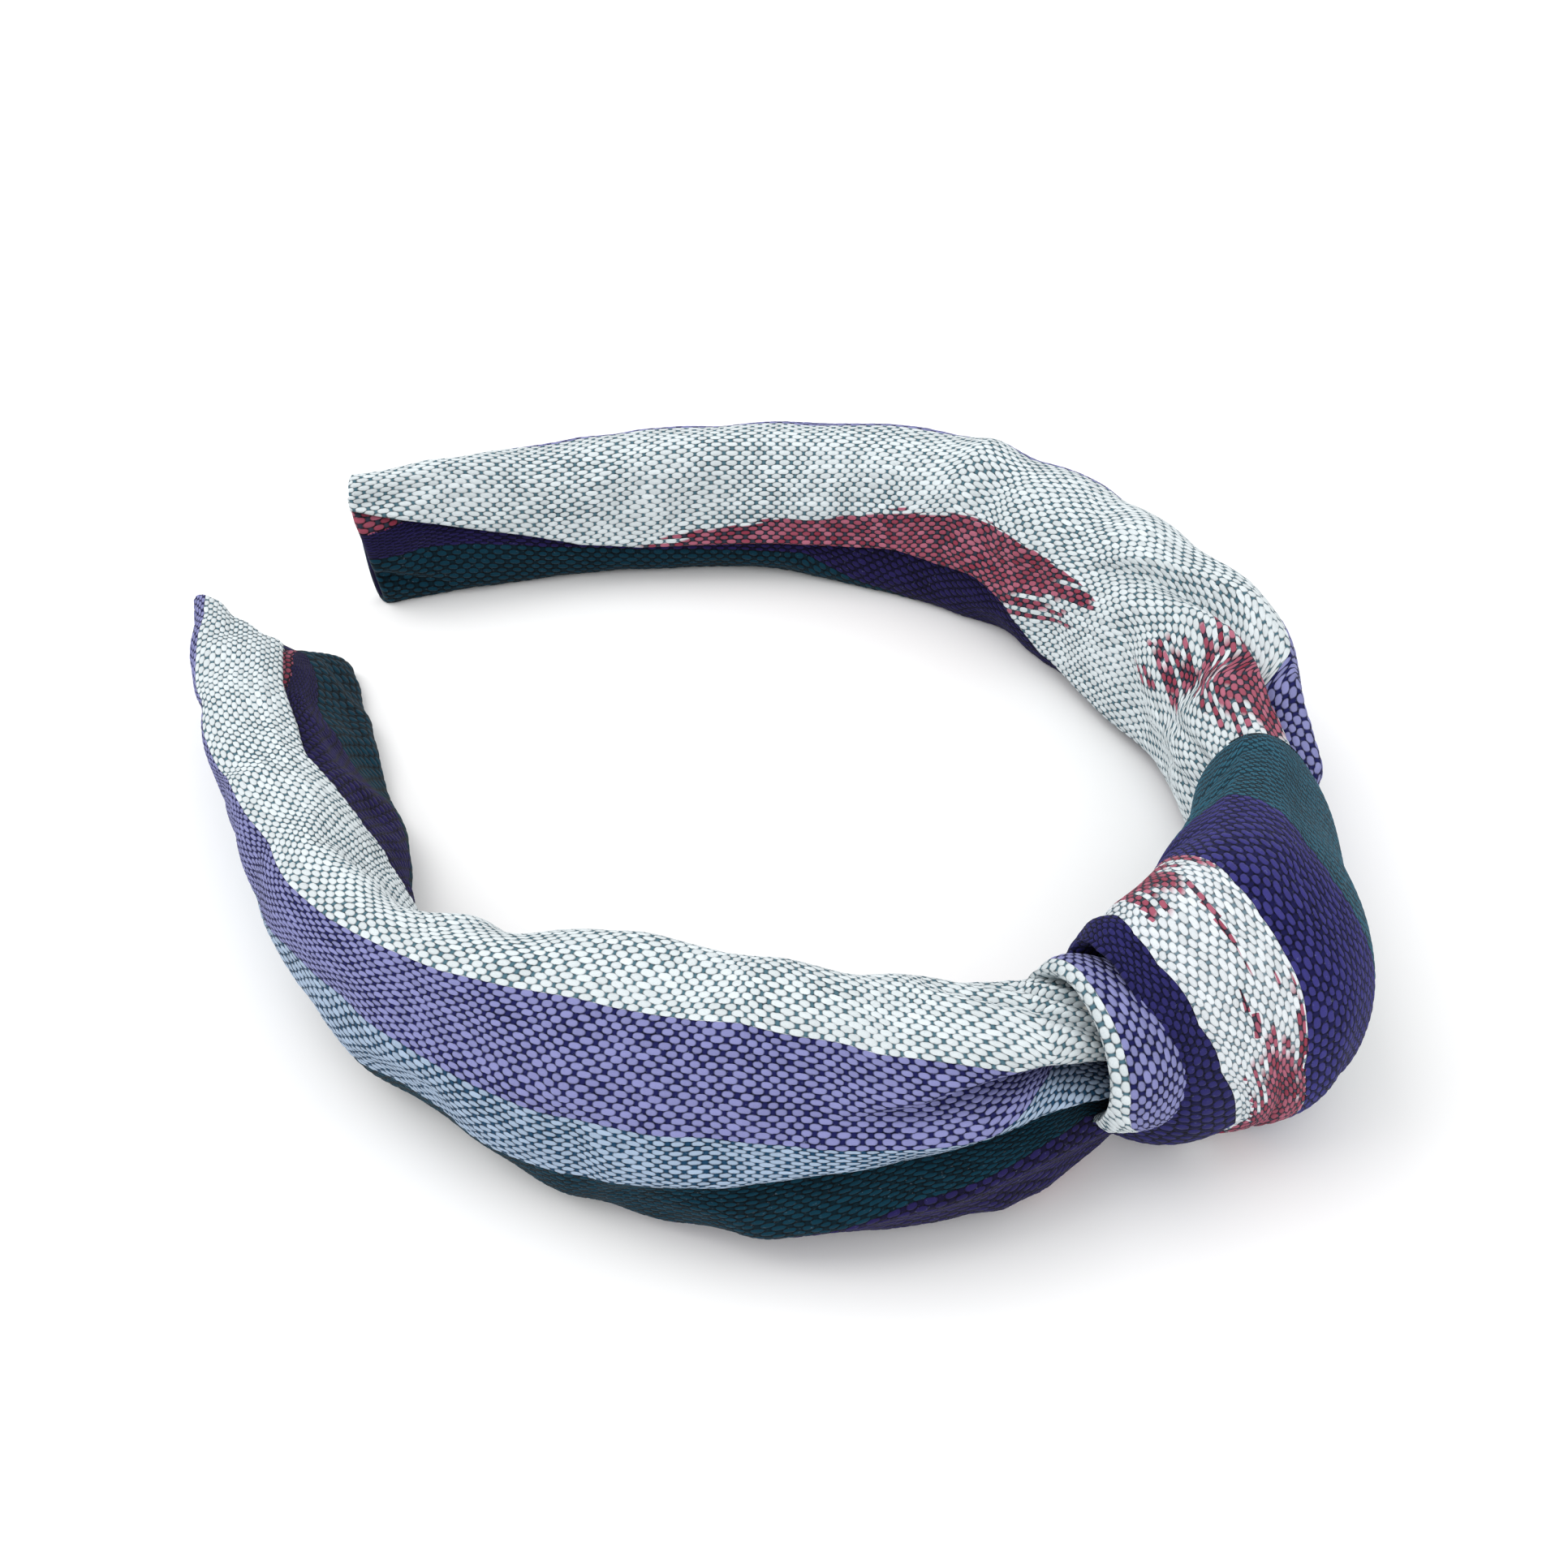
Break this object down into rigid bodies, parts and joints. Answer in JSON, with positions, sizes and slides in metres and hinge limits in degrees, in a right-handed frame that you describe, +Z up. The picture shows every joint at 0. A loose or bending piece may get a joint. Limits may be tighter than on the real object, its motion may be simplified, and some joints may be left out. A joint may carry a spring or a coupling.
{
  "type": "knotted headband",
  "caption": "C-shaped springy headband covered in striped handwoven cotton, with a soft knot at the crown and two padded arms that flex open.",
  "frame": {"origin": "middle of the whole's box, on the surface that the band's lower edge rests on", "axes": "+Z up from the surface the band lies on, +Y from the knot at the crown towards the gap between the two tips, +X to the right arm"},
  "size_m": [0.1336, 0.1618, 0.0367],
  "materials": {
    "striped_cotton": "matt plain-weave cotton with pale, lavender and light blue stripes",
    "knot_cotton": "matt plain-weave cotton with teal, purple, red and white stripes",
    "pale_cotton": "matt plain-weave cotton, mostly pale",
    "dark_cotton": "matt plain-weave cotton, dark teal and purple",
    "gathered_cotton": "gathered plain-weave cotton",
    "band_plastic": "plain moulded strip",
    "sponge": "soft open sponge",
    "sewing_thread": "spun cotton thread"
  },
  "bodies": {
    "crown": {"crown_core": "band_plastic", "knot_gather": "gathered_cotton", "knot_wrap": "knot_cotton", "knot_under_loop": "pale_cotton"},
    "left_arm": {"left_core": "band_plastic", "left_pad": "sponge", "left_sleeve": "striped_cotton", "left_seam_allowance": "dark_cotton", "left_seam_thread": "sewing_thread", "left_tip_fold": "pale_cotton", "left_tip_thread": "sewing_thread"},
    "right_arm": {"right_core": "band_plastic", "right_pad": "sponge", "right_sleeve": "striped_cotton", "right_seam_allowance": "dark_cotton", "right_seam_thread": "sewing_thread", "right_tip_fold": "pale_cotton", "right_tip_thread": "sewing_thread"}
  },
  "joints": [
    {"name": "left_arm_flex", "type": "hinge", "parent": "crown", "child": "left_arm", "pos_m": [-0.0367, -0.0519, 0.0122], "axis": [0, 0, 1], "range_deg": [-2, 22], "stiffness_Nm_per_rad": 0.5},
    {"name": "right_arm_flex", "type": "hinge", "parent": "crown", "child": "right_arm", "pos_m": [0.0158, -0.0595, 0.0122], "axis": [0, 0, -1], "range_deg": [-2, 22], "stiffness_Nm_per_rad": 0.5}
  ]
}
